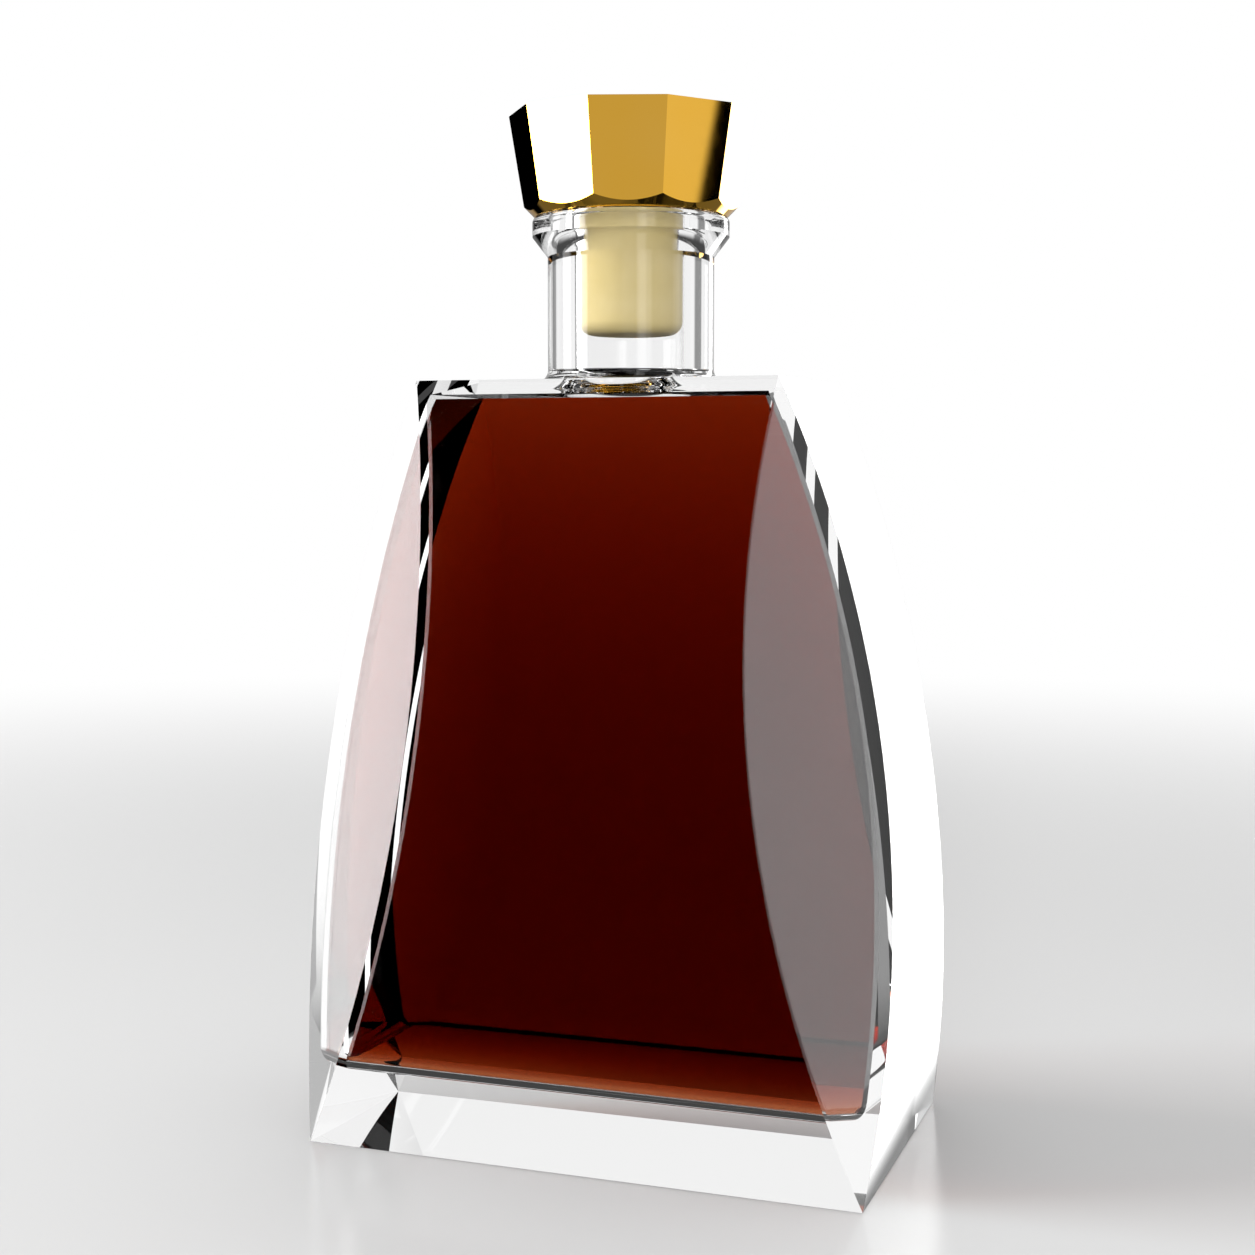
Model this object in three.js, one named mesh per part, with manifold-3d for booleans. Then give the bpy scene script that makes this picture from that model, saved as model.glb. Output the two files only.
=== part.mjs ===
// A 70 cl liquor bottle: a heavy clear glass flask with bowed sides and four cut corners, a round
// neck with a ring, the liquor inside it, and a bar stopper with a ten-sided gold cap.
// Millimetres, +Z up. The origin is the middle of the base, and the broad front faces -Y.

import * as THREE from "three";
import { mergeVertices } from "three/addons/utils/BufferGeometryUtils.js";
import Module from "manifold-3d";

// Driving dimensions of the glass body. A bulge is how far a bowed face stands out past a straight
// taper from the base to the shoulder, measured at the middle.
const bodyHeight = 150;
const baseWidth = 111.7;
const baseDepth = 65.5;
const shoulderWidth = 72.6;
const shoulderDepth = 44;
const sideBulge = 10.7;
const frontBulge = 6.45;

// The corner cuts are flat. Seen from above they run at this slope: so many mm in Y for each in X.
const cutSlope = 0.5603;

// The hollow inside the glass
const wallThickness = 3.3;
const floorHeight = 14.8;
const ceilingHeight = 147;
const hollowEdgeRadius = 3.5;

// Neck, ring and bore
const neckRadius = 16.4;
const neckRootRadius = 2.5;
const neckFoot = 2;
const ringRadius = 19.4;
const ringLowEdge = 174.4;
const ringBandLow = 178.3;
const mouthHeight = 182;
const ringLipRadius = 0.9;
const boreRadius = 10.5;
const boreLipRadius = 0.8;
const boreFlareRadius = 3.5;

// Liquor
const fillHeight = 146.2;

// Stopper: a round shank, glued into a recess in the cap
const shankRadius = 10.2;
const shankBottom = 159;
const shankEdgeRadius = 2.5;
const shankTop = 190.3;
const capTop = 201.9;
const capTopRadius = 24;
const capLowRadius = 20.75;
const capSeatRadius = 18.9;
const capFacets = 10;

// Pieces that touch on the real bottle are modelled this far apart.
const gap = 0.3;
const seatGap = 0.1;

// Smoothness
const roundSteps = 60;
const bowSteps = 28;
const edgeSteps = 6;
const overcut = 5;

const wasm = await Module();
wasm.setup();

const QUARTER = Math.PI / 2;
const zUp = new THREE.Matrix4().makeRotationX(QUARTER);

// Points along a circle's arc, from one angle to another, with x to the right and y up.
function arc(centreX, centreY, radius, from, to, steps) {
  const points = [];
  for (let i = 0; i <= steps; i++) {
    const angle = from + ((to - from) * i) / steps;
    points.push(
      new THREE.Vector2(
        centreX + radius * Math.cos(angle),
        centreY + radius * Math.sin(angle),
      ),
    );
  }
  return points;
}

const point = (x, y) => new THREE.Vector2(x, y);

// A closed three.js geometry as a solid, and a solid as a geometry.
function solid(geometry) {
  const bare = geometry.clone();
  bare.deleteAttribute("normal");
  bare.deleteAttribute("uv");
  const merged = mergeVertices(bare, 1e-4);
  return new wasm.Manifold(
    new wasm.Mesh({
      numProp: 3,
      vertProperties: merged.getAttribute("position").array,
      triVerts: new Uint32Array(merged.index.array),
    }),
  );
}

function geometryOf(manifold) {
  const mesh = manifold.getMesh();
  const geometry = new THREE.BufferGeometry();
  geometry.setAttribute(
    "position",
    new THREE.BufferAttribute(mesh.vertProperties, 3),
  );
  geometry.setIndex(new THREE.BufferAttribute(mesh.triVerts, 1));
  geometry.computeVertexNormals();
  return geometry;
}

// A turned solid: the profile's x is the radius and its y the height. It starts and ends on the axis.
function turned(profile, steps = roundSteps) {
  return solid(new THREE.LatheGeometry(profile, steps).applyMatrix4(zUp));
}

// The circle that a bowed face follows, from its half-width at the base to that at the shoulder.
function bow(low, high, bulge) {
  const chord = Math.hypot(bodyHeight, high - low);
  const radius = (chord ** 2 / 4 + bulge ** 2) / (2 * bulge);
  const back = bulge - radius;
  return {
    radius,
    x: (low + high) / 2 + (back * bodyHeight) / chord,
    z: bodyHeight / 2 + (back * (low - high)) / chord,
  };
}

const sideBow = bow(baseWidth / 2, shoulderWidth / 2, sideBulge);
const frontBow = bow(baseDepth / 2, shoulderDepth / 2, frontBulge);

// The corner cut's distance from the axis, and how that changes with height.
const cutLength = Math.hypot(cutSlope, 1);
const cutDistance = (width, depth) => (cutSlope * width + depth) / 2 / cutLength;
const cutLow = cutDistance(baseWidth, baseDepth);
const cutTaper =
  (cutDistance(shoulderWidth, shoulderDepth) - cutLow) / bodyHeight;

// One bowed side, from the bottom edge (rounded when edge is set) up to the top.
function bowedSide(circle, { inset, bottom, top, edge }) {
  const radius = circle.radius - inset;
  const low = Math.asin((bottom + edge - circle.z) / (radius - edge));
  const high = Math.asin((top - circle.z) / radius);
  const corner = arc(
    circle.x + (radius - edge) * Math.cos(low),
    bottom + edge,
    edge,
    -QUARTER,
    low,
    edge ? edgeSteps : 0,
  );
  const side = arc(circle.x, circle.z, radius, low, high, bowSteps);
  return edge ? [...corner.slice(0, -1), ...side] : side;
}

// A slab with both of its sides bowed, as deep as it is told, centred on the axis.
function bowedSlab(circle, form, depth) {
  const right = bowedSide(circle, form);
  const left = right.map((p) => point(-p.x, p.y)).reverse();
  const geometry = new THREE.ExtrudeGeometry(
    new THREE.Shape([...right, ...left]),
    { depth, bevelEnabled: false },
  );
  return geometry.translate(0, 0, -depth / 2);
}

// The four corner cuts together: a tapered rhombus, as a turned profile with only four steps.
function cutCorners({ inset, bottom, top, edge }) {
  const lean = Math.hypot(1, cutTaper);
  const distance = (z) => cutLow + cutTaper * z - inset * lean;
  const corner = edge
    ? arc(
        distance(bottom + edge) - edge * lean,
        bottom + edge,
        edge,
        -QUARTER,
        Math.atan2(-cutTaper, 1),
        edgeSteps,
      )
    : [point(distance(bottom), bottom)];
  const side = [...corner, point(distance(top), top)];
  const rhombus = side.map((p) => point(p.x * cutLength, p.y));
  const geometry = new THREE.LatheGeometry(
    [point(0, bottom), ...rhombus, point(0, top)],
    4,
  );
  return solid(geometry.applyMatrix4(zUp).scale(1 / cutSlope, 1, 1));
}

// The body's form, drawn in from the outside by an inset: the glass, its hollow and the liquor.
function bodyForm(form) {
  const front = bowedSlab(sideBow, form, baseDepth * 2).applyMatrix4(zUp);
  const across = bowedSlab(frontBow, form, baseWidth * 2)
    .applyMatrix4(zUp)
    .rotateZ(QUARTER);
  return solid(front).intersect(solid(across)).intersect(cutCorners(form));
}

function neck() {
  const root = arc(
    neckRadius + neckRootRadius,
    bodyHeight + neckRootRadius,
    neckRootRadius,
    -QUARTER,
    -2 * QUARTER,
    edgeSteps,
  );
  const lip = arc(
    ringRadius - ringLipRadius,
    mouthHeight - ringLipRadius,
    ringLipRadius,
    0,
    QUARTER,
    edgeSteps,
  );
  return turned([
    point(0, bodyHeight - neckFoot),
    point(neckRadius + neckRootRadius, bodyHeight - neckFoot),
    ...root,
    point(neckRadius, ringLowEdge),
    point(ringRadius, ringBandLow),
    ...lip,
    point(0, mouthHeight),
  ]);
}

function bore() {
  const flare = arc(
    boreRadius + boreFlareRadius,
    ceilingHeight + boreFlareRadius,
    boreFlareRadius,
    -QUARTER,
    -2 * QUARTER,
    edgeSteps,
  );
  const lip = arc(
    boreRadius + boreLipRadius,
    mouthHeight - boreLipRadius,
    boreLipRadius,
    2 * QUARTER,
    QUARTER,
    edgeSteps,
  );
  const wide = boreRadius + boreFlareRadius;
  return turned([
    point(0, ceilingHeight - overcut),
    point(wide, ceilingHeight - overcut),
    ...flare,
    ...lip,
    point(boreRadius + boreLipRadius, mouthHeight + overcut),
    point(0, mouthHeight + overcut),
  ]);
}

function bottleGlass() {
  const outside = bodyForm({ inset: 0, bottom: 0, top: bodyHeight, edge: 0 });
  const hollow = bodyForm({
    inset: wallThickness,
    bottom: floorHeight,
    top: ceilingHeight,
    edge: hollowEdgeRadius,
  });
  return outside.add(neck()).subtract(hollow).subtract(bore());
}

function liquor() {
  return bodyForm({
    inset: wallThickness + gap,
    bottom: floorHeight + gap,
    top: fillHeight,
    edge: hollowEdgeRadius - gap,
  });
}

function stopperShank() {
  const bottomEdge = arc(
    shankRadius - shankEdgeRadius,
    shankBottom + shankEdgeRadius,
    shankEdgeRadius,
    -QUARTER,
    0,
    edgeSteps,
  );
  return turned([
    point(0, shankBottom),
    ...bottomEdge,
    point(shankRadius, shankTop),
    point(0, shankTop),
  ]);
}

// The cap: a ten-sided frustum, turned off below at 45 degrees, with a recess for the shank.
function stopperCap() {
  const seat = mouthHeight + seatGap;
  const height = capTop - seat;
  const facets = new THREE.CylinderGeometry(
    capTopRadius,
    capLowRadius,
    height,
    capFacets,
  ).translate(0, seat + height / 2, 0);
  const turnedOff = turned([
    point(0, seat),
    point(capSeatRadius, seat),
    point(capSeatRadius + height + overcut, capTop + overcut),
    point(0, capTop + overcut),
  ]);
  const recess = turned([
    point(0, seat - overcut),
    point(shankRadius + gap, seat - overcut),
    point(shankRadius + gap, shankTop + gap),
    point(0, shankTop + gap),
  ]);
  return solid(facets.applyMatrix4(zUp))
    .intersect(turnedOff)
    .subtract(recess);
}

const finishes = {
  clearGlass: new THREE.MeshStandardMaterial({
    color: 0xf4f7f6,
    roughness: 0.02,
    metalness: 0,
    transparent: true,
    opacity: 0.3,
  }),
  redBrownLiquor: new THREE.MeshStandardMaterial({
    color: 0x4a0c04,
    roughness: 0.05,
    metalness: 0,
    transparent: true,
    opacity: 0.95,
  }),
  creamShank: new THREE.MeshStandardMaterial({
    color: 0xe6d6a4,
    roughness: 0.55,
    metalness: 0,
  }),
  polishedGold: new THREE.MeshStandardMaterial({
    color: 0xd6a24a,
    roughness: 0.08,
    metalness: 1,
  }),
};

function named(name, manifold, material) {
  const mesh = new THREE.Mesh(geometryOf(manifold), material);
  mesh.name = name;
  return mesh;
}

const bottle = new THREE.Group();
bottle.add(
  named("bottle_glass", bottleGlass(), finishes.clearGlass),
  named("liquor", liquor(), finishes.redBrownLiquor),
);

const stopper = new THREE.Group();
stopper.add(
  named("stopper_shank", stopperShank(), finishes.creamShank),
  named("stopper_cap", stopperCap(), finishes.polishedGold),
);

const group = new THREE.Group();
group.add(bottle, stopper);

export default group;
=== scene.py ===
# %% [markdown]
# # A faceted liquor bottle
#
# The bottle is one thick piece of clear glass: a flask with bowed sides and four cut
# corners, a round neck and a ring. It holds a dark red-brown liquor, and a cream
# stopper with a ten-sided gold cap closes it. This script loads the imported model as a
# fixed frame and makes the fine surfaces and the finishes round it, piece by piece.

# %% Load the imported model
import math

import bmesh
import bpy
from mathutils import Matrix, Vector


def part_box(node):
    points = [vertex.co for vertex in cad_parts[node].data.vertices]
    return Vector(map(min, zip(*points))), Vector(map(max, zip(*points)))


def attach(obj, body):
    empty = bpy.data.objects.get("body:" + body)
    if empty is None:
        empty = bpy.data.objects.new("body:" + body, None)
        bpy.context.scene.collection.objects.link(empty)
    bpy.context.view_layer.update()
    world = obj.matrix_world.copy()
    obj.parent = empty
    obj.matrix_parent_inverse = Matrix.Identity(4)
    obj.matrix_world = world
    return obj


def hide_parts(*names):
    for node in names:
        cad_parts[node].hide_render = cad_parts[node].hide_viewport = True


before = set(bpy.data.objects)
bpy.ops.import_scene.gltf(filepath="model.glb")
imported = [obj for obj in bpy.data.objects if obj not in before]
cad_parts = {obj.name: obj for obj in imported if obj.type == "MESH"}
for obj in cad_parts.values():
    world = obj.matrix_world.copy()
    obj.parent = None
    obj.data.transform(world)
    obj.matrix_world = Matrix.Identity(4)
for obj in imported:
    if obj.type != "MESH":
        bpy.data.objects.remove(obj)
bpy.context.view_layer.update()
print("packed pieces:", sorted(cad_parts))

# %% [markdown]
# ## The sizes that drive everything
#
# A mould maker draws this bottle with few numbers: the base and the shoulder, how far
# the faces bow out between them, the slope of the corner cuts and the wall. They are
# kept in millimetres, as on a drawing, and are turned into metres where a mesh is made.

# %% Driving sizes, in millimetres
MM = 0.001

BODY_HEIGHT = 150
BASE_WIDTH, BASE_DEPTH = 111.7, 65.5
SHOULDER_WIDTH, SHOULDER_DEPTH = 72.6, 44
SIDE_BULGE, FRONT_BULGE = 10.7, 6.45
CUT_SLOPE = 0.5603

WALL = 3.3
FLOOR, CEILING = 14.8, 147
HOLLOW_EDGE = 3.5
FILL_LEVEL = 146.2
# How far the liquor stands off the walls, and how far off the glass floor
LIQUOR_GAP = 1.0
CONTACT = 0.02

NECK_RADIUS, NECK_ROOT = 16.4, 2.5
RING_RADIUS, RING_LIP = 19.4, 0.9
RING_LOW, RING_BAND = 174.4, 178.3
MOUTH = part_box("bottle_glass")[1].z / MM
BORE_RADIUS, BORE_LIP, BORE_FLARE = 10.5, 0.8, 3.5

SHANK_RADIUS, SHANK_EDGE = 10.2, 2.5
SHANK_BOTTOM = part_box("stopper_shank")[0].z / MM
SHANK_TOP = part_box("stopper_shank")[1].z / MM
CAP_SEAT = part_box("stopper_cap")[0].z / MM
CAP_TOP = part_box("stopper_cap")[1].z / MM
CAP_TOP_RADIUS, CAP_LOW_RADIUS, CAP_SEAT_RADIUS = 24, 20.75, 18.9
CAP_FACETS = 10
RECESS_CLEARANCE = 0.3

print(f"mouth at {MOUTH:.1f} mm, cap from {CAP_SEAT:.1f} to {CAP_TOP:.1f} mm")

# %% [markdown]
# ## Node trees as sums
#
# Geometry and shaders are both node trees, and most of their nodes are arithmetic. A
# small class stands for a number in a tree, so that a formula can be written as one:
# each operator adds its Math node. Every other node comes from one method, which sets
# its settings before its sockets.


# %% Numbers and nodes
class Number:
    """A number in a node tree. Arithmetic with it adds Math nodes."""

    def __init__(self, graph, socket):
        self.graph, self.socket = graph, socket

    def __add__(self, other):
        return self.graph.maths("ADD", self, other)

    def __sub__(self, other):
        return self.graph.maths("SUBTRACT", self, other)

    def __rsub__(self, other):
        return self.graph.maths("SUBTRACT", other, self)

    def __mul__(self, other):
        return self.graph.maths("MULTIPLY", self, other)

    def __truediv__(self, other):
        return self.graph.maths("DIVIDE", self, other)

    def __rtruediv__(self, other):
        return self.graph.maths("DIVIDE", other, self)

    def __gt__(self, other):
        return self.graph.maths("GREATER_THAN", self, other)

    def __lt__(self, other):
        return self.graph.maths("LESS_THAN", self, other)

    __radd__ = __add__
    __rmul__ = __mul__


class Graph:
    """A node tree, and the one way that nodes are added to it."""

    def __init__(self, tree):
        self.tree = tree

    def plug(self, socket, value):
        source = value.socket if isinstance(value, Number) else value
        if isinstance(source, bpy.types.NodeSocket):
            self.tree.links.new(source, socket)
        else:
            socket.default_value = source

    def node(self, kind, settings=None, inputs=None):
        made = self.tree.nodes.new(kind)
        for name, value in (settings or {}).items():
            setattr(made, name, value)
        for name, value in (inputs or {}).items():
            self.plug(self.find(made.inputs, name), value)
        return made

    @staticmethod
    def find(sockets, name):
        """A socket by its number or name. Of several with one name, the one in use."""
        if isinstance(name, int):
            return sockets[name]
        return next(each for each in sockets if each.name == name and each.enabled)

    def number(self, socket):
        return Number(self, socket)

    def maths(self, operation, *values):
        made = self.node(
            "ShaderNodeMath", {"operation": operation}, dict(enumerate(values))
        )
        return self.number(made.outputs[0])

    def parts(self, vector):
        split = self.node("ShaderNodeSeparateXYZ", inputs={"Vector": vector})
        return [self.number(out) for out in split.outputs]


# %% [markdown]
# ## The body's form as a rule
#
# At any height the bottle's outline is a rectangle with its corners cut, so eight
# points carry the form. The two narrow sides and the two broad faces each follow a
# circle, and the corner cuts are flat planes. A Geometry Nodes tree takes an
# eight-sided cylinder with many rings and moves each ring to what the rule gives. The
# glass, its hollow and the liquor are one tree with other numbers: an inset draws the
# faces in, and an edge radius rounds the bottom.


# %% The circles that the bowed faces follow
def bow(low, high, bulge):
    """The circle that a bowed face follows: radius, how far out and how high it is."""
    chord = math.hypot(BODY_HEIGHT, high - low)
    radius = (chord**2 / 4 + bulge**2) / (2 * bulge)
    back = bulge - radius
    out = (low + high) / 2 + back * BODY_HEIGHT / chord
    up = BODY_HEIGHT / 2 + back * (low - high) / chord
    return radius, out, up


side_bow = bow(BASE_WIDTH / 2, SHOULDER_WIDTH / 2, SIDE_BULGE)
front_bow = bow(BASE_DEPTH / 2, SHOULDER_DEPTH / 2, FRONT_BULGE)
cut_low = (CUT_SLOPE * BASE_WIDTH + BASE_DEPTH) / 2
cut_high = (CUT_SLOPE * SHOULDER_WIDTH + SHOULDER_DEPTH) / 2
cut_taper = (cut_high - cut_low) / BODY_HEIGHT
print(f"side radius {side_bow[0]:.0f} mm, front radius {front_bow[0]:.0f} mm")


# %% [markdown]
# ## Growing a mesh from a tree
#
# A tree gets named inputs, so that one rule can be used with several sets of numbers.
# It runs once on an empty object, and the plain mesh that comes out is kept. The tree
# itself isn't left on the piece.


# %% A Geometry Nodes tree with named inputs
def new_tree(name, inputs):
    """An empty Geometry Nodes tree with inputs, given as {name: default}."""
    tree = bpy.data.node_groups.new(name, "GeometryNodeTree")
    for key, default in inputs.items():
        kind = "NodeSocketInt" if isinstance(default, int) else "NodeSocketFloat"
        made = tree.interface.new_socket(key, in_out="INPUT", socket_type=kind)
        made.default_value = default
    tree.interface.new_socket(
        "Material", in_out="INPUT", socket_type="NodeSocketMaterial"
    )
    tree.interface.new_socket(
        "Geometry", in_out="OUTPUT", socket_type="NodeSocketGeometry"
    )
    graph = Graph(tree)
    entry = graph.node("NodeGroupInput")
    given = {key: graph.number(entry.outputs[key]) for key in [*inputs, "Material"]}
    return graph, given


def close_tree(graph, geometry, material):
    """Ends a tree in plain geometry with its material."""
    merged = graph.node(
        "GeometryNodeMergeByDistance", inputs={"Geometry": geometry, "Distance": 1e-6}
    )
    plain = graph.node(
        "GeometryNodeRealizeInstances", inputs={0: merged.outputs["Geometry"]}
    )
    painted = graph.node(
        "GeometryNodeSetMaterial",
        inputs={"Geometry": plain.outputs[0], "Material": material},
    )
    graph.node("NodeGroupOutput", inputs={"Geometry": painted.outputs[0]})


def grow(tree, name, values, material):
    """Runs a tree once and returns the plain mesh that it makes."""
    holder = bpy.data.objects.new(name, bpy.data.meshes.new(name))
    bpy.context.scene.collection.objects.link(holder)
    modifier = holder.modifiers.new(tree.name, "NODES")
    modifier.node_group = tree
    ids = {
        item.name: item.identifier
        for item in tree.interface.items_tree
        if item.in_out == "INPUT"
    }
    for key, value in values.items():
        modifier[ids[key]] = value
    modifier[ids["Material"]] = material
    seen = holder.evaluated_get(bpy.context.evaluated_depsgraph_get())
    mesh = bpy.data.meshes.new_from_object(seen)
    bpy.data.objects.remove(holder)
    # The piece gets its own list of materials later, and these faces take its first.
    mesh.polygons.foreach_set("material_index", [0] * len(mesh.polygons))
    mesh.name = name
    return mesh


# %% [markdown]
# ## The rule, written down
#
# An outline point lies where two faces meet: a bowed side or front, and a corner cut.
# Where the cut would miss the corner, `beyond` is zero and the corner stays. The lowest
# rings follow a quarter circle, so that an edge radius rounds the bottom of the hollow.

# %% The tree for the bowed form with cut corners
# The share of the rings that goes round a rounded bottom edge
EDGE_SHARE = 0.2
FORM_INPUTS = {
    "Rings": 96,
    "Inset": 0.0,
    "Bottom": 0.0,
    "Top": BODY_HEIGHT * MM,
    "Edge": 0.0,
    "Edge Share": 0.0,
    "Side Radius": side_bow[0] * MM,
    "Side Out": side_bow[1] * MM,
    "Side Up": side_bow[2] * MM,
    "Front Radius": front_bow[0] * MM,
    "Front Out": front_bow[1] * MM,
    "Front Up": front_bow[2] * MM,
    "Cut Low": cut_low * MM,
    "Cut Taper": cut_taper,
    "Cut Slope": CUT_SLOPE,
}


def bowed_form_tree():
    graph, given = new_tree("bowed_form", FORM_INPUTS)
    cylinder = graph.node(
        "GeometryNodeMeshCylinder",
        inputs={
            "Vertices": 8,
            "Side Segments": given["Rings"],
            "Radius": 1,
            "Depth": 1,
        },
    )
    turned = graph.node(
        "GeometryNodeTransform",
        inputs={
            "Geometry": cylinder.outputs["Mesh"],
            "Rotation": (0, 0, math.radians(22.5)),
        },
    )
    x, y, z = graph.parts(graph.node("GeometryNodeInputPosition").outputs[0])
    share, edge, inset = given["Edge Share"], given["Edge"], given["Inset"]

    # The lowest rings go round the bottom edge, and the others climb evenly.
    t = z + 0.5
    angle = graph.maths("MINIMUM", t / share, 1) * (math.pi / 2)
    climb = graph.maths("MAXIMUM", (t - share) / (1 - share), 0)
    tall = given["Top"] - given["Bottom"] - edge
    height = (
        given["Bottom"] + edge * (1 - graph.maths("COSINE", angle)) + climb * tall
    )
    rounding = edge * (1 - graph.maths("SINE", angle))

    def reach(face):
        radius = given[face + " Radius"] - inset
        rise = height - given[face + " Up"]
        across = graph.maths("SQRT", radius * radius - rise * rise)
        return given[face + " Out"] + across - rounding

    half_width, half_depth = reach("Side"), reach("Front")
    slope = given["Cut Slope"]
    plan = graph.maths("SQRT", slope * slope + 1)
    taper = given["Cut Taper"] / plan
    lean = graph.maths("SQRT", taper * taper + 1)
    cut = given["Cut Low"] + given["Cut Taper"] * height
    cut = cut - plan * (inset * lean + rounding)
    beyond = graph.maths("MAXIMUM", slope * half_width + half_depth - cut, 0)

    on_side = graph.maths("ABSOLUTE", x) > graph.maths("ABSOLUTE", y)
    out_x = half_width - (1 - on_side) * beyond / slope
    out_y = half_depth - on_side * beyond
    place = graph.node(
        "ShaderNodeCombineXYZ",
        inputs={
            "X": graph.maths("SIGN", x) * out_x,
            "Y": graph.maths("SIGN", y) * out_y,
            "Z": height,
        },
    )
    moved = graph.node(
        "GeometryNodeSetPosition",
        inputs={"Geometry": turned.outputs[0], "Position": place.outputs[0]},
    )
    close_tree(graph, moved.outputs[0], given["Material"])
    return graph.tree


bowed_form = bowed_form_tree()
print("bowed form:", len(bowed_form.nodes), "nodes")

# %% [markdown]
# ## Turned surfaces
#
# Neck, ring, bore and shank are turned: a profile goes round the axis. The profile is a
# list of radii and heights with arcs for its rounded edges. Rings of points are joined
# by plain quads, so the surface can later be sewn to the flat shoulder and to the
# ceiling of the hollow.

# %% Arcs, rings and flat filling
ROUND_STEPS = 128
ARC_STEPS = 12
# Faces that meet at more than this angle, in degrees, keep a sharp edge between them.
SHARP_ANGLE = 14
# A face is flat and level when its normal is at least this upright.
LEVEL = 0.9999


def arc(radius_at, height_at, radius, start, stop):
    """Points (radius, height) on an arc, with its angles in degrees."""
    points = []
    for i in range(ARC_STEPS + 1):
        angle = math.radians(start + (stop - start) * i / ARC_STEPS)
        out, up = radius * math.cos(angle), radius * math.sin(angle)
        points.append((radius_at + out, height_at + up))
    return points


def add_turned(bm, profile):
    """Adds the surface of a profile in millimetres, and returns its rings of points."""
    turns = [2 * math.pi * i / ROUND_STEPS for i in range(ROUND_STEPS)]

    def point(radius, height, turn):
        across, along = radius * math.sin(turn), -radius * math.cos(turn)
        return bm.verts.new(Vector((across, along, height)) * MM)

    rings = [
        [point(radius, height, turn) for turn in turns] for radius, height in profile
    ]
    for low, high in zip(rings, rings[1:]):
        for i in range(ROUND_STEPS):
            j = (i + 1) % ROUND_STEPS
            bm.faces.new((low[i], low[j], high[j], high[i]))
    return rings


def ring_edges(bm, ring):
    """The edges round one ring of points."""
    pairs = zip(ring, ring[1:] + ring[:1])
    return [bm.edges.get(pair) for pair in pairs]


def open_top(bm, faces):
    """Removes the topmost flat face among these and returns the edges of the hole."""
    top = max(faces, key=lambda face: face.calc_center_median().z)
    edges = list(top.edges)
    bmesh.ops.delete(bm, geom=[top], context="FACES_ONLY")
    return edges


def fill_between(bm, outer, inner):
    """Fills the flat field between two closed rings of edges."""
    bmesh.ops.triangle_fill(bm, use_beauty=True, edges=outer + inner)


def lowest_face(faces):
    return min(faces, key=lambda face: face.calc_center_median().z)


def finished(bm, name, *materials):
    """Turns the faces outwards and makes the object, with its sharp edges sharp."""
    bmesh.ops.recalc_face_normals(bm, faces=bm.faces)
    mesh = bpy.data.meshes.new(name)
    bm.to_mesh(mesh)
    bm.free()
    for face in mesh.polygons:
        face.use_smooth = abs(face.normal.z) < LEVEL
    mesh.set_sharp_from_angle(angle=math.radians(SHARP_ANGLE))
    for material in materials:
        mesh.materials.append(material)
    made = bpy.data.objects.new(name, mesh)
    bpy.context.scene.collection.objects.link(made)
    print(name, len(mesh.polygons), "faces")
    return made


# %% [markdown]
# ## The finishes
#
# Clear glass lets lamps through, so its shadow is light: a Light Path node swaps it for
# a Transparent shader where a ray only asks whether a lamp is hidden. The liquor is the
# same kind of surface with a lower bend, and it takes its colour from what it absorbs
# over its depth: least of red, more of green and most of blue. So a thin corner glows
# orange and the middle is nearly black, with no paint at all.
#
# The liquor lies on the glass floor with no air between, so one surface is enough
# there. The liquor's own is switched off below a height, and the glass floor gets a
# wetted finish: its bend is that of glass against liquor. A red-brown tint is painted
# on it as well, a painted glow that stands in for the light in the band at the foot.

# %% Glass and liquor
GLASS_IOR = 1.5
LIQUOR_IOR = 1.45
# How strongly a metre of the liquor absorbs red, green and blue, as exponents
ABSORBED = (44, 112, 167)
# Painted glow: a red-brown colour on the glass floor that stands in for light glowing
# through the liquor at the foot
PAINTED_GLOW_TINT = (0.36, 0.085, 0.03, 1)


def new_material(name):
    """A material with nothing in its tree but the output."""
    material = bpy.data.materials.new(name)
    material.use_nodes = True
    material.node_tree.nodes.clear()
    graph = Graph(material.node_tree)
    return material, graph, graph.node("ShaderNodeOutputMaterial")


def clear_material(name, ior, tint=(1, 1, 1, 1), foot=None):
    """A clear stuff that lets lamps through. Below its foot it has no surface."""
    material, graph, out = new_material(name)
    bent = graph.node(
        "ShaderNodeBsdfPrincipled",
        inputs={
            "Base Color": tint,
            "Roughness": 0,
            "IOR": ior,
            "Transmission Weight": 1,
        },
    )
    straight = graph.node("ShaderNodeBsdfTransparent", inputs={"Color": (1, 1, 1, 1)})
    passing = graph.node("ShaderNodeLightPath").outputs["Is Shadow Ray"]
    if foot is not None:
        place = graph.node("ShaderNodeTexCoord").outputs["Object"]
        passing = graph.maths("MAXIMUM", passing, graph.parts(place)[2] < foot)
    mixed = graph.node(
        "ShaderNodeMixShader",
        inputs={0: passing, 1: bent.outputs[0], 2: straight.outputs[0]},
    )
    graph.plug(out.inputs["Surface"], mixed.outputs[0])
    return material, graph, out


def liquor_material():
    """Where the liquor lies on the glass floor, only the glass has a surface."""
    foot = (FLOOR + 2 * CONTACT) * MM
    material, graph, out = clear_material("red_brown_liquor", LIQUOR_IOR, foot=foot)
    strongest = max(ABSORBED)
    colour = [1 - each / strongest for each in ABSORBED] + [1]
    volume = graph.node(
        "ShaderNodeVolumeAbsorption", inputs={"Color": colour, "Density": strongest}
    )
    graph.plug(out.inputs["Volume"], volume.outputs[0])
    return material


clear_glass = clear_material("clear_glass", GLASS_IOR)[0]
# The glass floor under the liquor: the real bend of glass against liquor, with the
# painted glow tint
wetted_glass_painted_glow = clear_material("wetted_glass_painted_glow", GLASS_IOR / LIQUOR_IOR, PAINTED_GLOW_TINT)[0]
red_brown_liquor = liquor_material()
print(f"light bends by {GLASS_IOR} in the glass and by {LIQUOR_IOR} in the liquor")
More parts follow.
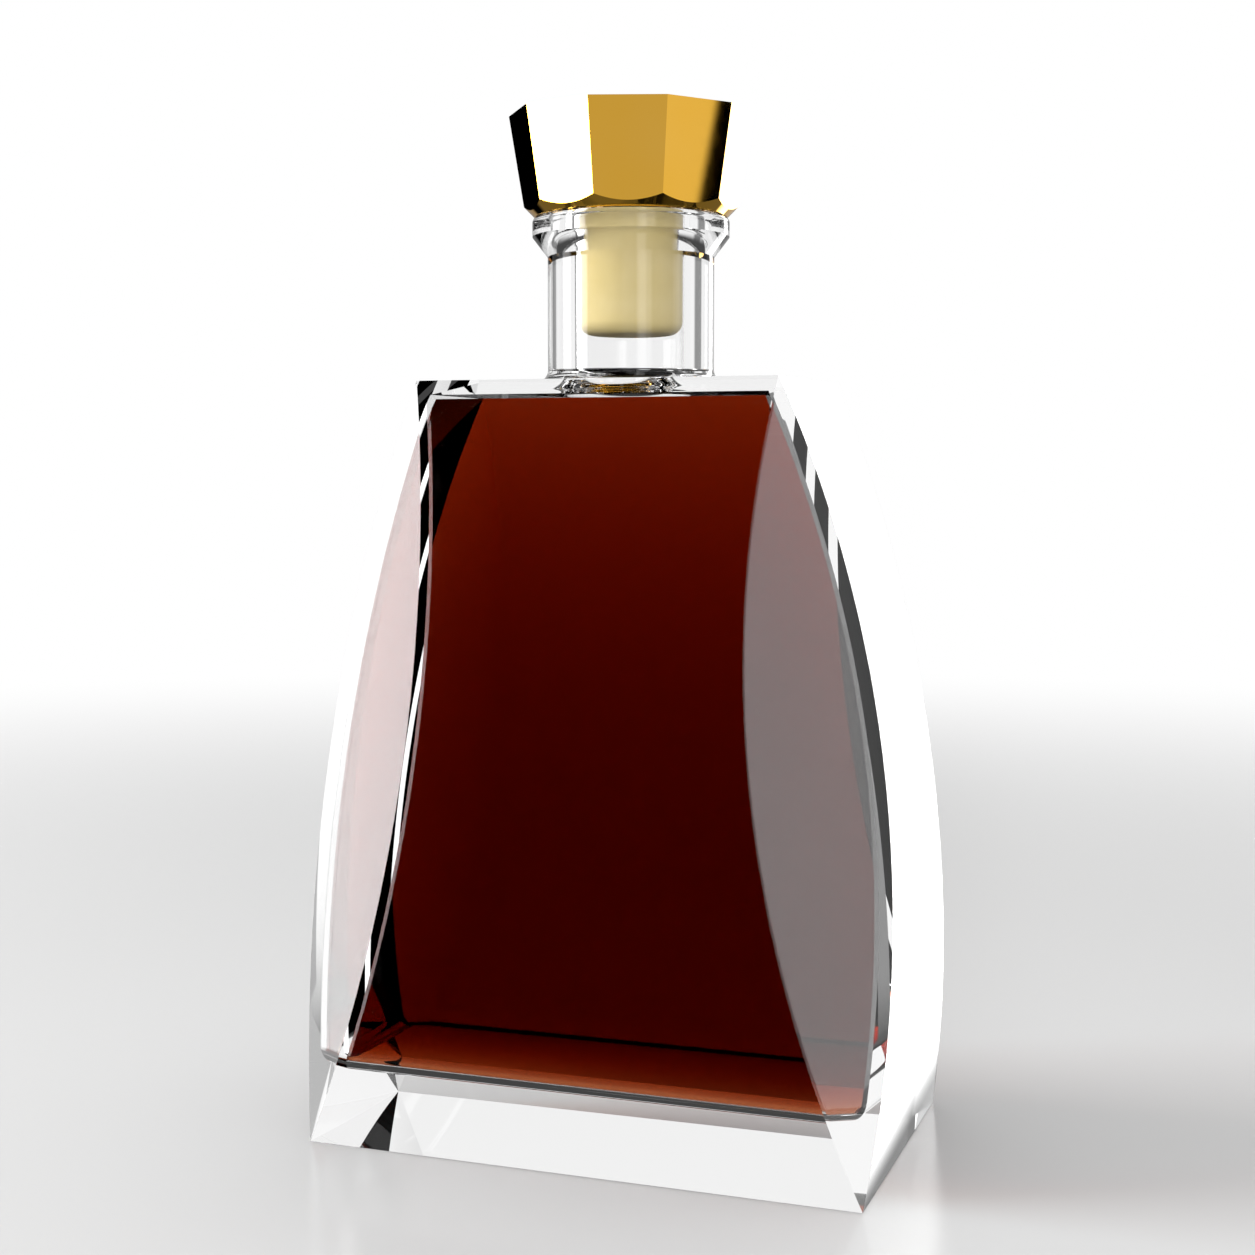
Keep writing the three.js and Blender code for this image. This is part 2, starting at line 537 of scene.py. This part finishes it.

# %% [markdown]
# ## The glass, as one closed skin
#
# The outer form loses its top face and is sewn to the foot of the neck. The neck's
# surface goes up over the ring, in at the mouth and down the bore, and flares into the
# ceiling of the hollow. So one skin runs from the outside to the inside, as the surface
# of real glass does.


# %% Glass
# The wetted finish, with its painted glow, is the second of the glass's two materials.
WETTED_PAINTED_GLOW = 1


def neck_profile():
    """From the neck's foot up, over the ring, in at the mouth and down the bore."""
    foot, flare = NECK_RADIUS + NECK_ROOT, BORE_RADIUS + BORE_FLARE
    return [
        *arc(foot, BODY_HEIGHT + NECK_ROOT, NECK_ROOT, -90, -180),
        (NECK_RADIUS, RING_LOW),
        (RING_RADIUS, RING_BAND),
        *arc(RING_RADIUS - RING_LIP, MOUTH - RING_LIP, RING_LIP, 0, 90),
        *arc(BORE_RADIUS + BORE_LIP, MOUTH - BORE_LIP, BORE_LIP, 90, 180),
        *arc(flare, CEILING + BORE_FLARE, BORE_FLARE, 180, 270),
    ]


def make_glass():
    hollow = {
        "Inset": WALL * MM,
        "Bottom": FLOOR * MM,
        "Top": CEILING * MM,
        "Edge": HOLLOW_EDGE * MM,
        "Edge Share": EDGE_SHARE,
    }
    bm = bmesh.new()
    bm.from_mesh(grow(bowed_form, "outside", {}, clear_glass))
    shoulder = open_top(bm, bm.faces)
    outside = set(bm.faces)
    bm.from_mesh(grow(bowed_form, "hollow", hollow, clear_glass))
    inside = [face for face in bm.faces if face not in outside]
    # The hollow's floor takes the wetted finish with its painted glow.
    lowest_face(inside).material_index = WETTED_PAINTED_GLOW
    ceiling = open_top(bm, inside)
    rings = add_turned(bm, neck_profile())
    fill_between(bm, shoulder, ring_edges(bm, rings[0]))
    fill_between(bm, ceiling, ring_edges(bm, rings[-1]))
    return finished(bm, "glass_bottle", clear_glass, wetted_glass_painted_glow)


glass = make_glass()
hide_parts("bottle_glass")
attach(glass, "bottle")

# %% [markdown]
# ## The liquor
#
# The liquor takes the hollow's form a millimetre further in. That thin gap is what
# draws the bright and dark lines along its edges, because glass seen at a slant mirrors
# where it meets air.


# %% Liquor
def make_liquor():
    values = {
        "Inset": (WALL + LIQUOR_GAP) * MM,
        "Bottom": (FLOOR + CONTACT) * MM,
        "Top": FILL_LEVEL * MM,
        "Edge": (HOLLOW_EDGE - LIQUOR_GAP) * MM,
        "Edge Share": EDGE_SHARE,
    }
    bm = bmesh.new()
    bm.from_mesh(grow(bowed_form, "liquor_form", values, red_brown_liquor))
    return finished(bm, "liquor_fill", red_brown_liquor)


liquor = make_liquor()
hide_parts("liquor")
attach(liquor, "bottle")

# %% [markdown]
# ## The stopper's shank
#
# The shank is a smooth cream plug of synthetic cork, turned, with its lower edge
# rounded so that it finds its way into the bore.


# %% Shank
# Noise keeps to the middle of its range, so this part of it is spread out.
NOISE_LOW, NOISE_HIGH = 0.3, 0.7
SHANK_PALE, SHANK_DEEP = (0.90, 0.74, 0.36, 1), (0.84, 0.68, 0.30, 1)
SHANK_ROUGHNESS = (0.38, 0.5)
# Noise per metre: clouds in the colour, patches in the gloss and grain in the surface
SHANK_CLOUDS, SHANK_PATCHES, SHANK_GRAIN = 160, 500, 3000
GRAIN_HEIGHT, GRAIN_STRENGTH = 0.0001, 0.05


def mottled(graph, scale, detail, low, high):
    """A soft noise in the piece's own space, spread from low to high."""
    place = graph.node("ShaderNodeTexCoord").outputs["Object"]
    noise = graph.node(
        "ShaderNodeTexNoise", inputs={"Vector": place, "Scale": scale, "Detail": detail}
    )
    spread = graph.node(
        "ShaderNodeMapRange",
        inputs={
            "Value": noise.outputs["Fac"],
            "From Min": NOISE_LOW,
            "From Max": NOISE_HIGH,
            "To Min": low,
            "To Max": high,
        },
    )
    return graph.number(spread.outputs[0])


def shank_material():
    """Smooth moulded cream foam: faint clouds in its colour and a very fine grain."""
    material, graph, out = new_material("cream_shank")
    colour = graph.node(
        "ShaderNodeMix",
        {"data_type": "RGBA"},
        {
            "Factor": mottled(graph, SHANK_CLOUDS, 3, 0, 1),
            "A": SHANK_PALE,
            "B": SHANK_DEEP,
        },
    )
    grain = graph.node(
        "ShaderNodeBump",
        inputs={
            "Height": mottled(graph, SHANK_GRAIN, 2, 0, 1),
            "Strength": GRAIN_STRENGTH,
            "Distance": GRAIN_HEIGHT,
        },
    )
    surface = graph.node(
        "ShaderNodeBsdfPrincipled",
        inputs={
            "Base Color": Graph.find(colour.outputs, "Result"),
            "Roughness": mottled(graph, SHANK_PATCHES, 2, *SHANK_ROUGHNESS),
            "Normal": grain.outputs[0],
        },
    )
    graph.plug(out.inputs["Surface"], surface.outputs[0])
    return material


def make_shank():
    bm = bmesh.new()
    edge = arc(SHANK_RADIUS - SHANK_EDGE, SHANK_BOTTOM + SHANK_EDGE, SHANK_EDGE, -90, 0)
    rings = add_turned(bm, [*edge, (SHANK_RADIUS, SHANK_TOP)])
    for ring in (rings[0], rings[-1]):
        bm.faces.new(ring)
    return finished(bm, "cream_shank", shank_material())


shank = make_shank()
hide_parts("stopper_shank")
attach(shank, "stopper")

# %% [markdown]
# ## The faceted cap
#
# The cap is a ten-sided frustum, turned off below at 45 degrees, which leaves a
# scalloped edge. Where the turning meets a facet can be worked out for each direction,
# so a second Geometry Nodes tree shapes a cylinder of three rings: the seat, the
# scalloped edge and the top.


# %% Cap
GOLD_WARM, GOLD_PALE = (1.0, 0.55, 0.065, 1), (1.0, 0.56, 0.08, 1)
GOLD_ROUGHNESS = (0.015, 0.025)
GOLD_CLOUDS, GOLD_HAZE = 60, 400


def gold_material():
    """Polished and gold anodised, with a faint haze that varies over the facets."""
    material, graph, out = new_material("polished_gold")
    colour = graph.node(
        "ShaderNodeMix",
        {"data_type": "RGBA"},
        {
            "Factor": mottled(graph, GOLD_CLOUDS, 2, 0, 1),
            "A": GOLD_WARM,
            "B": GOLD_PALE,
        },
    )
    surface = graph.node(
        "ShaderNodeBsdfPrincipled",
        inputs={
            "Base Color": Graph.find(colour.outputs, "Result"),
            "Roughness": mottled(graph, GOLD_HAZE, 2, *GOLD_ROUGHNESS),
            "Metallic": 1,
        },
    )
    graph.plug(out.inputs["Surface"], surface.outputs[0])
    return material


# Points round each of the cap's rings, a whole number for each facet
CAP_STEPS = 120
CAP_INPUTS = {
    "Facets": CAP_FACETS,
    "Steps": CAP_STEPS,
    "Seat": CAP_SEAT * MM,
    "Top": CAP_TOP * MM,
    "Seat Radius": CAP_SEAT_RADIUS * MM,
    "Low Radius": CAP_LOW_RADIUS * MM,
    "Top Radius": CAP_TOP_RADIUS * MM,
}


def cap_tree():
    graph, given = new_tree("faceted_cap", CAP_INPUTS)
    cylinder = graph.node(
        "GeometryNodeMeshCylinder",
        inputs={
            "Vertices": given["Steps"],
            "Side Segments": 2,
            "Radius": 1,
            "Depth": 2,
        },
    )
    # ring is -1 at the seat, 0 at the scalloped edge and 1 at the top
    x, y, ring = graph.parts(graph.node("GeometryNodeInputPosition").outputs[0])
    facet = 2 * math.pi / given["Facets"]

    # Each direction's angle from its facet's middle, with a vertex to the front
    angle = graph.maths("ARCTAN2", x, 0 - y)
    off = graph.maths("FLOORED_MODULO", angle, facet) - facet / 2
    cos_half = graph.maths("COSINE", facet / 2)
    stretch = cos_half / graph.maths("COSINE", off)
    tall = given["Top"] - given["Seat"]
    widen = (given["Top Radius"] - given["Low Radius"]) / tall

    # The turned underside climbs a millimetre for each millimetre outwards.
    overhang = given["Low Radius"] * stretch - given["Seat Radius"]
    rise = overhang / (1 - widen * stretch)
    is_top, is_edge = ring > 0.5, graph.maths("COMPARE", ring, 0, 0.5)
    height = given["Seat"] + is_edge * rise + is_top * tall
    radius = (
        (1 - is_top) * (given["Seat Radius"] + is_edge * rise)
        + is_top * given["Top Radius"] * stretch
    )
    place = graph.node(
        "ShaderNodeCombineXYZ", inputs={"X": x * radius, "Y": y * radius, "Z": height}
    )
    moved = graph.node(
        "GeometryNodeSetPosition",
        inputs={"Geometry": cylinder.outputs["Mesh"], "Position": place.outputs[0]},
    )
    close_tree(graph, moved.outputs[0], given["Material"])
    return graph.tree


def make_cap():
    gold = gold_material()
    bm = bmesh.new()
    bm.from_mesh(grow(cap_tree(), "cap_form", {}, gold))
    bottom = lowest_face(bm.faces)
    seat = list(bottom.edges)
    bmesh.ops.delete(bm, geom=[bottom], context="FACES_ONLY")
    recess = SHANK_RADIUS + RECESS_CLEARANCE
    rings = add_turned(bm, [(recess, CAP_SEAT), (recess, SHANK_TOP + RECESS_CLEARANCE)])
    fill_between(bm, seat, ring_edges(bm, rings[0]))
    bm.faces.new(rings[-1])
    return finished(bm, "gold_cap", gold)


cap = make_cap()
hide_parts("stopper_cap")
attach(cap, "stopper")

# %% [markdown]
# ## The floor
#
# The floor is pale and a little glossy, and fades to plain white far off, so that no
# line divides it from the background. Light that has mirrored somewhere passes through
# it, because a glossy floor seen again and again inside the glass would lay a grey veil
# over the liquor.


# %% Floor
FLOOR_RADIUS, FLOOR_STEPS = 1.5, 96
# A little under the bottle, so that the two never share a plane
FLOOR_DROP = 0.0002
# The distances between which the floor fades to white
FADE_START, FADE_END = 0.2, 0.9
FLOOR_GREY, FLOOR_ROUGHNESS = 0.72, 0.2
# A ray has mirrored when its count of mirrorings is above this.
MIRRORED = 0.5


def floor_material():
    """Pale, a little glossy, white far off, and absent to rays that have mirrored."""
    material, graph, out = new_material("pale_floor")
    near = graph.node(
        "ShaderNodeBsdfPrincipled",
        inputs={
            "Base Color": (FLOOR_GREY, FLOOR_GREY, FLOOR_GREY, 1),
            "Roughness": FLOOR_ROUGHNESS,
        },
    )
    far = graph.node(
        "ShaderNodeEmission", inputs={"Color": (1, 1, 1, 1), "Strength": 1}
    )
    place = graph.node("ShaderNodeTexCoord").outputs["Object"]
    x, y, _ = graph.parts(place)
    away = graph.maths("SQRT", x * x + y * y)
    fade = graph.node(
        "ShaderNodeMapRange",
        {"interpolation_type": "SMOOTHSTEP"},
        {"Value": away, "From Min": FADE_START, "From Max": FADE_END},
    )
    path = graph.node("ShaderNodeLightPath").outputs
    seen = graph.maths(
        "MAXIMUM", graph.number(path["Is Camera Ray"]), path["Is Transmission Ray"]
    )
    faded = graph.node(
        "ShaderNodeMixShader",
        inputs={
            0: graph.number(fade.outputs[0]) * seen,
            1: near.outputs[0],
            2: far.outputs[0],
        },
    )
    mirrored = graph.number(path["Glossy Depth"]) > MIRRORED
    clear = graph.node("ShaderNodeBsdfTransparent", inputs={"Color": (1, 1, 1, 1)})
    surface = graph.node(
        "ShaderNodeMixShader",
        inputs={0: mirrored, 1: faded.outputs[0], 2: clear.outputs[0]},
    )
    graph.plug(out.inputs["Surface"], surface.outputs[0])
    return material


def make_floor():
    bm = bmesh.new()
    bmesh.ops.create_circle(
        bm, cap_ends=True, segments=FLOOR_STEPS, radius=FLOOR_RADIUS
    )
    mesh = bpy.data.meshes.new("floor")
    bm.to_mesh(mesh)
    bm.free()
    mesh.materials.append(floor_material())
    floor = bpy.data.objects.new("floor", mesh)
    bpy.context.scene.collection.objects.link(floor)
    floor.location.z = -FLOOR_DROP
    print(f"floor {2 * FLOOR_RADIUS} m across")


make_floor()

# %% [markdown]
# ## The studio
#
# Glass and polished metal show what stands round them. The camera sees plain white, but
# a ray that has mirrored sees cards on black, as photographers set them up: dark in
# front of the bottle, and bright at its left, its right and behind. The outer faces
# mirror one set of cards, the inner faces another, and the liquor's own surface a
# third, so each can be bright where it has to be without laying a veil over the others.

# %% World
# From azimuth, to azimuth, softness and brightness. 0 is the front and 90 the right.
CARDS = (
    (8, 27, 5, 0.56),
    (30, 48, 3, 1.6),
    (50, 84, 4, 0.3),
    (85, 90.25, 0.15, 0.78),
    (100, 150, 4, 0.3),
    (150, 190, 3, 0.5),
    (159, 173, 1.5, 5),
    (190, 224, 3, 0.3),
    (240, 262, 3, 0.3),
    (272, 288, 3, 3.4),
    (299, 307, 1, 20),
)
# What the glass mirrors on its inner faces, and what is seen through the liquor
INNER_CARDS = (
    (30, 48, 3, 1.6),
    (76, 104, 4, 0.25),
    (104, 162, 4, 0.95),
    (162, 188, 3, 0.25),
    (188, 262, 3, 0.95),
    (267, 292, 3, 3.4),
)
# What the liquor's own surface mirrors
SKIN_CARDS = (
    (30, 48, 3, 1.6),
    (160, 173, 2, 0.95),
    (267, 292, 3, 3.4),
)
# How many surfaces a ray has passed when it comes back out from the liquor's skin
SKIN_DEPTH = 4
# How strongly the plain white lights what isn't glass
PLAIN_LIGHT = 0.6
# How far down the cards reach, as a direction's height, and how soft that end is
CARD_FOOT, CARD_FOOT_SOFT = -0.45, 0.05
# What lies below the cards
FLOOR_GLOW = 0.15
INNER_GLOW = 0.06


def smooth_step(graph, value, edge, soft):
    """0 below the edge and 1 above it, with a soft change."""
    made = graph.node(
        "ShaderNodeMapRange",
        {"interpolation_type": "SMOOTHSTEP"},
        {"Value": value, "From Min": edge - soft, "From Max": edge + soft},
    )
    return graph.number(made.outputs[0])


def card_light(graph, direction, cards, glow):
    """How bright a direction is: the cards on black, and a glow below their foot."""
    x, y, z = graph.parts(direction)
    azimuth = graph.maths("ARCTAN2", x, 0 - y) * (180 / math.pi)
    turn = graph.maths("FLOORED_MODULO", azimuth, 360)
    light = 0
    for low, high, soft, brightness in cards:
        past_low = smooth_step(graph, turn, low, soft)
        past_high = smooth_step(graph, turn, high, soft)
        light = (past_low - past_high) * brightness + light
    above = smooth_step(graph, z, CARD_FOOT, CARD_FOOT_SOFT)
    return above * light + (1 - above) * glow


def make_world():
    """Plain white to the camera, and cards on black to rays that have mirrored."""
    world = bpy.data.worlds.new("studio")
    bpy.context.scene.world = world
    world.use_nodes = True
    world.node_tree.nodes.clear()
    graph = Graph(world.node_tree)
    out = graph.node("ShaderNodeOutputWorld")
    direction = graph.node("ShaderNodeTexCoord").outputs["Generated"]
    path = graph.node("ShaderNodeLightPath").outputs
    mirrored = graph.number(path["Glossy Depth"]) > MIRRORED
    inside = graph.number(path["Is Transmission Ray"])
    skin = graph.maths("COMPARE", path["Transmission Depth"], SKIN_DEPTH, 0.5)
    outer = card_light(graph, direction, CARDS, FLOOR_GLOW)
    inner = card_light(graph, direction, INNER_CARDS, INNER_GLOW)
    on_skin = card_light(graph, direction, SKIN_CARDS, INNER_GLOW)
    inner = skin * on_skin + (1 - skin) * inner
    cards = inside * inner + (1 - inside) * outer
    seen = graph.maths("MAXIMUM", graph.number(path["Is Camera Ray"]), inside)
    plain = PLAIN_LIGHT + seen * (1 - PLAIN_LIGHT)
    level = mirrored * cards + (1 - mirrored) * plain
    light = graph.node(
        "ShaderNodeBackground", inputs={"Color": (1, 1, 1, 1), "Strength": level}
    )
    graph.plug(out.inputs["Surface"], light.outputs[0])
    print("studio:", len(world.node_tree.nodes), "nodes")


make_world()

# %% [markdown]
# ## The lamps
#
# Three soft boxes light what isn't glass: the cream shank and the floor. A strong one
# at the left is the main light, a wide one overhead softens the shadow, and a low one
# in front brightens the shank. None of them shows in a mirror, since the cards do that.


# %% Lamps
LAMP_TARGET = (0, 0, 0.1)
# Name, azimuth, elevation, distance, width, height and brightness
LAMPS = (
    ("key_left", -75, 28, 1.2, 0.45, 0.6, 15),
    ("overhead", 150, 70, 1.2, 0.9, 0.9, 1.2),
    ("fill_front", 5, 8, 1.2, 0.6, 0.4, 5),
)


def soft_box(name, azimuth, elevation, distance, width, height, brightness):
    """A soft box that faces the bottle. Its brightness is how white it would look."""
    lamp = bpy.data.lights.new(name, "AREA")
    lamp.shape = "RECTANGLE"
    lamp.size, lamp.size_y = width, height
    lamp.energy = brightness * math.pi * width * height
    made = bpy.data.objects.new(name, lamp)
    bpy.context.scene.collection.objects.link(made)
    a, e = math.radians(azimuth), math.radians(elevation)
    target = Vector(LAMP_TARGET)
    away = Vector(
        (math.sin(a) * math.cos(e), -math.cos(a) * math.cos(e), math.sin(e))
    )
    made.location = target + away * distance
    made.rotation_euler = away.to_track_quat("Z", "Y").to_euler()
    made.visible_camera = made.visible_glossy = made.visible_transmission = False
    print(f"{name}: {lamp.energy:.1f} W")


for lamp in LAMPS:
    soft_box(*lamp)

# %% [markdown]
# ## The camera
#
# Its place, its turn and its lens were solved from the photo's corners and edges.

# %% Camera
camera_data = bpy.data.cameras.new("camera")
camera_data.sensor_width = 36
camera_data.lens = 56.31
camera = bpy.data.objects.new("camera", camera_data)
camera.location = (0.13165, -0.36904, 0.13389)
camera.rotation_euler = (math.radians(85.242), 0, math.radians(19.734))
bpy.context.scene.collection.objects.link(camera)
bpy.context.scene.camera = camera
bpy.context.scene.view_settings.view_transform = "Standard"
print("camera at", [round(v, 3) for v in camera.location])

# Light goes round inside a thick wall many times before it leaves.
bpy.context.scene.cycles.glossy_bounces = 8
bpy.context.scene.cycles.transmission_bounces = 24
bpy.context.scene.cycles.max_bounces = 32
